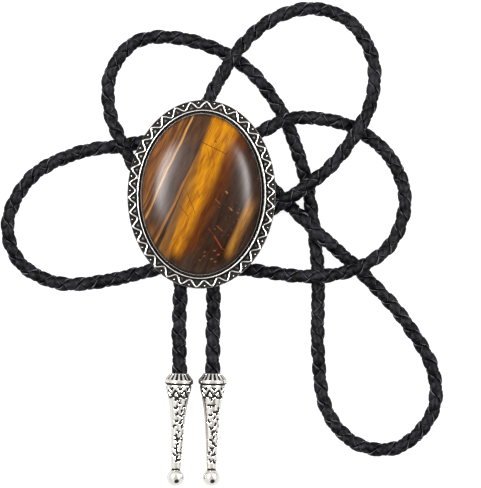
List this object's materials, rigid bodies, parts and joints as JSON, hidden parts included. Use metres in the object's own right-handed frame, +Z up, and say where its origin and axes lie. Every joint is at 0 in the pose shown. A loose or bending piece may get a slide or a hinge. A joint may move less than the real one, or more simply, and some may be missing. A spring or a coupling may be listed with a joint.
{
  "type": "bolo tie",
  "caption": "Bolo tie with a domed oval stone in a cast zigzag-bordered slide, on a long black braided leather cord with ornamented metal tips, laid out flat.",
  "frame": {"origin": "on the surface the tie lies on, below the middle of the box round the slide and the two tips", "axes": "+Z up out of the stone, +Y from the tips towards the top of the slide, +X to the right as seen from above"},
  "size_m": [0.1421, 0.156, 0.02],
  "materials": {
    "antique_silver": "silver-plated casting, polished high points and blackened recesses",
    "plain_steel": "plain satin metal",
    "tigers_eye": "polished, banded brown and gold",
    "black_leather": "braided, satin black"
  },
  "bodies": {
    "root": {"setting": "antique_silver", "stone": "tigers_eye", "clasp": "plain_steel", "cord": "black_leather", "tip_left": "antique_silver", "tip_right": "antique_silver"}
  },
  "joints": []
}
